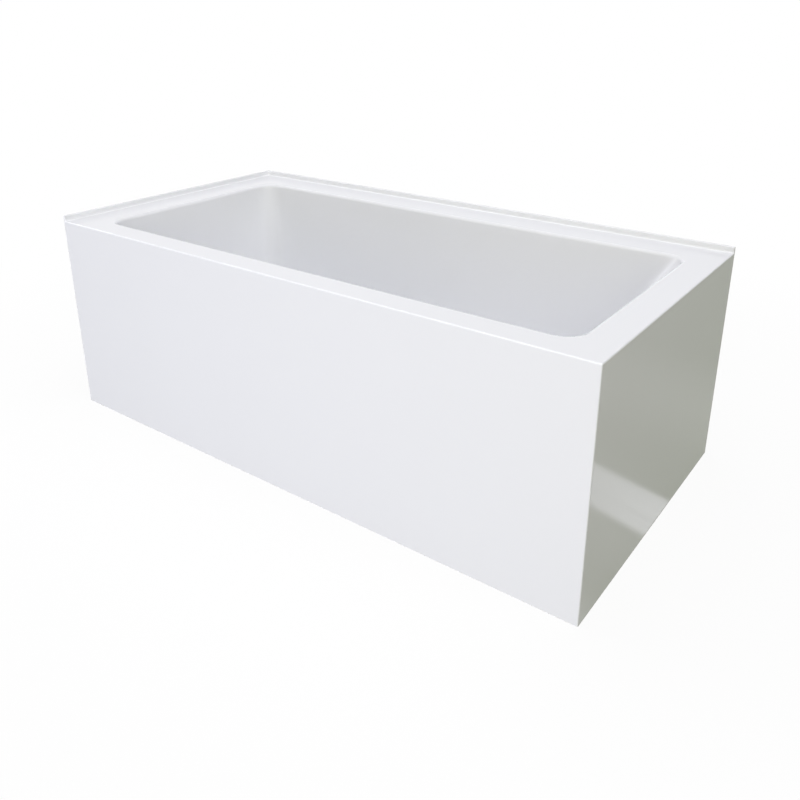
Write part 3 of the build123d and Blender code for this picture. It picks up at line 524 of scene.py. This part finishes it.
class Rays:
    """Nodes that tell apart the rays that reach a stage material."""

    def __init__(self, tree):
        self.tree = tree
        self.path = tree.nodes.new("ShaderNodeLightPath")

    def of(self, *kinds):
        """1 for rays of any of the kinds, such as Camera or Glossy."""
        total = self.path.outputs[f"Is {kinds[0]} Ray"]
        for kind in kinds[1:]:
            either = self.tree.nodes.new("ShaderNodeMath")
            either.operation = "MAXIMUM"
            self.tree.links.new(total, either.inputs[0])
            self.tree.links.new(self.path.outputs[f"Is {kind} Ray"], either.inputs[1])
            total = either.outputs["Value"]
        return total


def blend_shaders(tree, share, first, second):
    """Mixes two shaders, share being how much of the second."""
    mixed = tree.nodes.new("ShaderNodeMixShader")
    tree.links.new(share, mixed.inputs["Fac"])
    tree.links.new(first, mixed.inputs[1])
    tree.links.new(second, mixed.inputs[2])
    return mixed.outputs["Shader"]


def glow(tree, tone, strength=None):
    """An emission shader's output, its strength 1 or another node's output."""
    lit = tree.nodes.new("ShaderNodeEmission")
    lit.inputs["Color"].default_value = (*tone, 1)
    if strength is not None:
        tree.links.new(strength, lit.inputs["Strength"])
    return lit.outputs["Emission"]


def matt(tree, tone):
    """A diffuse shader's output."""
    diffuse = tree.nodes.new("ShaderNodeBsdfDiffuse")
    diffuse.inputs["Color"].default_value = (*tone, 1)
    return diffuse.outputs["BSDF"]


def ramp(tree, value, over, to):
    """Maps the range over smoothly to the range to."""
    ranged = tree.nodes.new("ShaderNodeMapRange")
    ranged.interpolation_type = "SMOOTHSTEP"
    for name, number in zip(("From Min", "From Max", "To Min", "To Max"), (*over, *to)):
        ranged.inputs[name].default_value = number
    tree.links.new(value, ranged.inputs["Value"])
    return ranged.outputs["Result"]


def scaled_sum(tree, value, factor, addend):
    """value times factor, plus a number or another node's output."""
    total = tree.nodes.new("ShaderNodeMath")
    total.operation = "MULTIPLY_ADD"
    total.inputs[1].default_value = factor
    tree.links.new(value, total.inputs[0])
    if isinstance(addend, bpy.types.NodeSocket):
        tree.links.new(addend, total.inputs[2])
    else:
        total.inputs[2].default_value = addend
    return total.outputs["Value"]


def blank_material(name):
    """A material with nothing in it but its output, and that output's input."""
    material = bpy.data.materials.new(name)
    material.use_nodes = True
    tree = material.node_tree
    tree.nodes.clear()
    output = tree.nodes.new("ShaderNodeOutputMaterial")
    return material, tree, output.inputs["Surface"]


def lay_floor(studio):
    """Pale floor: white, with a faint shadow beside the tub."""
    bpy.ops.mesh.primitive_plane_add(size=FLOOR_SIDE)
    floor = bpy.context.object
    floor.name = "studio_floor"
    white = (1, 1, 1)
    material, tree, surface = blank_material("floor_paint")
    rays = Rays(tree)
    coordinates = tree.nodes.new("ShaderNodeTexCoord")
    reach = tree.nodes.new("ShaderNodeVectorMath")
    reach.operation = "LENGTH"
    tree.links.new(coordinates.outputs["Object"], reach.inputs[0])
    shaded = ramp(tree, reach.outputs["Value"], over=SHADE_FADE, to=(SHADE_SHARE, 0))
    seen = blend_shaders(tree, shaded, glow(tree, white), matt(tree, white))
    mirrored = glow(tree, studio.mirrored)
    sent_on = blend_shaders(tree, rays.of("Glossy"), matt(tree, studio.floor), mirrored)
    tree.links.new(blend_shaders(tree, rays.of("Camera", "Transmission"), sent_on, seen), surface)
    floor.data.materials.append(material)


def hang_sky(scene, studio):
    """White all round for the eye and for glossy pieces, and a dim light from all sides."""
    world = bpy.data.worlds.new("studio")
    scene.world = world
    world.use_nodes = True
    tree = world.node_tree
    background = tree.nodes["Background"]
    background.inputs["Color"].default_value = (1, 1, 1, 1)
    seen = Rays(tree).of("Camera", "Glossy", "Transmission")
    strength = ramp(tree, seen, over=(0, 1), to=(studio.sky, 1))
    tree.links.new(strength, background.inputs["Strength"])


def streak_card():
    """A glowing card on the floor that only glossy pieces see and that lights nothing: it holds
    painted reflections.
    """
    (near, far), (front, back) = CARD_ALONG_X, CARD_ALONG_Y
    middle = ((near + far) / 2, (front + back) / 2, CARD_HEIGHT)
    bpy.ops.mesh.primitive_plane_add(size=1, location=middle)
    card = bpy.context.object
    card.name = "streak_card"
    card.scale = (far - near, back - front, 1)
    card.visible_camera = card.visible_diffuse = card.visible_shadow = False
    card.visible_transmission = card.visible_volume_scatter = False
    return card


def lay_painted_reflections(brightness):
    """Painted reflections: glowing strips on a card beside the end apron, standing in for daylight,
    that only glossy pieces mirror.
    """
    material, tree, surface = blank_material("streaks")
    geometry = tree.nodes.new("ShaderNodeNewGeometry")
    split = tree.nodes.new("ShaderNodeSeparateXYZ")
    tree.links.new(geometry.outputs["Position"], split.inputs["Vector"])
    shader = tree.nodes.new("ShaderNodeBsdfTransparent").outputs["BSDF"]
    for middle, slope, half_width, share, tint, soft in PAINTED_STREAKS:
        across = scaled_sum(tree, split.outputs["X"], -slope, split.outputs["Y"])
        along = tree.nodes.new("ShaderNodeCombineXYZ")
        tree.links.new(split.outputs["X"], along.inputs["X"])
        tree.links.new(scaled_sum(tree, across, LINES_PER_METRE, 0.0), along.inputs["Y"])
        lines = tree.nodes.new("ShaderNodeTexNoise")
        lines.inputs["Scale"].default_value = 1.0
        tree.links.new(along.outputs["Vector"], lines.inputs["Vector"])
        full = share * brightness
        strengths = (full * (1 - LINE_CONTRAST), full * (1 + LINE_CONTRAST))
        uneven = ramp(tree, lines.outputs["Fac"], over=(0.3, 0.7), to=strengths)
        start = -(middle - slope * CARD_ALONG_X[0]) / half_width
        offset = tree.nodes.new("ShaderNodeMath")
        offset.operation = "ABSOLUTE"
        tree.links.new(scaled_sum(tree, across, 1 / half_width, start), offset.inputs[0])
        inside = ramp(tree, offset.outputs["Value"], over=(1 - soft, 1 + soft), to=(1, 0))
        # Each strip is a glow seen only in glossy pieces: a painted reflection
        shader = blend_shaders(tree, inside, shader, glow(tree, tint, uneven))
    tree.links.new(shader, surface)
    streak_card().data.materials.append(material)


def area_lamp(name, spot, target, size, watts, tint):
    """A rectangular lamp that faces a target."""
    lamp = bpy.data.lights.new(name, "AREA")
    lamp.shape = "RECTANGLE"
    lamp.size, lamp.size_y = size
    lamp.energy = watts
    lamp.color = tint
    holder = bpy.data.objects.new(name, lamp)
    holder.location = spot
    holder.rotation_euler = (Vector(target) - Vector(spot)).to_track_quat("-Z", "Y").to_euler()
    holder.visible_camera = False
    bpy.context.scene.collection.objects.link(holder)
    return holder


def place_camera(scene, studio):
    """The camera at the photograph's angle."""
    camera_data = bpy.data.cameras.new("camera")
    camera_data.lens = studio.lens
    camera_data.shift_x, camera_data.shift_y = studio.shift
    camera = bpy.data.objects.new("camera", camera_data)
    camera.location = studio.spot
    camera.rotation_euler = (radians(90) - studio.pitch, 0, studio.yaw)
    scene.collection.objects.link(camera)
    scene.camera = camera


class TUB_OT_stage(Operator):
    """Set up the floor, the light and the camera"""

    bl_idname = "tub.stage"
    bl_label = "Studio"

    def execute(self, context):
        studio = context.scene.tub_studio
        lay_floor(studio)
        hang_sky(context.scene, studio)
        lay_painted_reflections(studio.streaks)
        for name, spot, target, size, tint in LAMPS:
            lamp = area_lamp(f"{name}_lamp", spot, target, size, getattr(studio, name), tint)
            lamp.visible_glossy = name not in UNMIRRORED
        place_camera(context.scene, studio)
        context.scene.view_settings.view_transform = "Standard"
        return {"FINISHED"}


OPERATORS = (
    TUB_OT_stage,
    TUB_OT_acrylic,
    TUB_OT_laminate,
    TUB_OT_boards,
    TUB_OT_timber,
    TUB_OT_steelwork,
    TUB_OT_feet,
    TUB_OT_pipework,
    TUB_OT_fittings,
)


class TUB_PT_panel(Panel):
    """Lists the bathtub's finishes and the studio"""

    bl_label = "Corner bathtub"
    bl_space_type = "VIEW_3D"
    bl_region_type = "UI"
    bl_category = "Bathtub"

    def draw(self, context):
        for group in (context.scene.tub_finishes, context.scene.tub_studio):
            column = self.layout.column()
            for name in group.__annotations__:
                column.prop(group, name)
        for operator in OPERATORS:
            self.layout.operator(operator.bl_idname)


CLASSES = (TubFinishes, TubStudio, *OPERATORS, TUB_PT_panel)


def register():
    for entry in CLASSES:
        bpy.utils.register_class(entry)
    bpy.types.Scene.tub_finishes = PointerProperty(type=TubFinishes)
    bpy.types.Scene.tub_studio = PointerProperty(type=TubStudio)


def unregister():
    del bpy.types.Scene.tub_studio
    del bpy.types.Scene.tub_finishes
    for entry in reversed(CLASSES):
        bpy.utils.unregister_class(entry)


def main():
    """Puts the studio and every finish in place."""
    register()
    bpy.ops.tub.stage()
    bpy.ops.tub.acrylic()
    bpy.ops.tub.laminate()
    bpy.ops.tub.boards()
    bpy.ops.tub.timber()
    bpy.ops.tub.steelwork()
    bpy.ops.tub.feet()
    bpy.ops.tub.pipework()
    bpy.ops.tub.fittings()


if __name__ == "__main__":
    main()
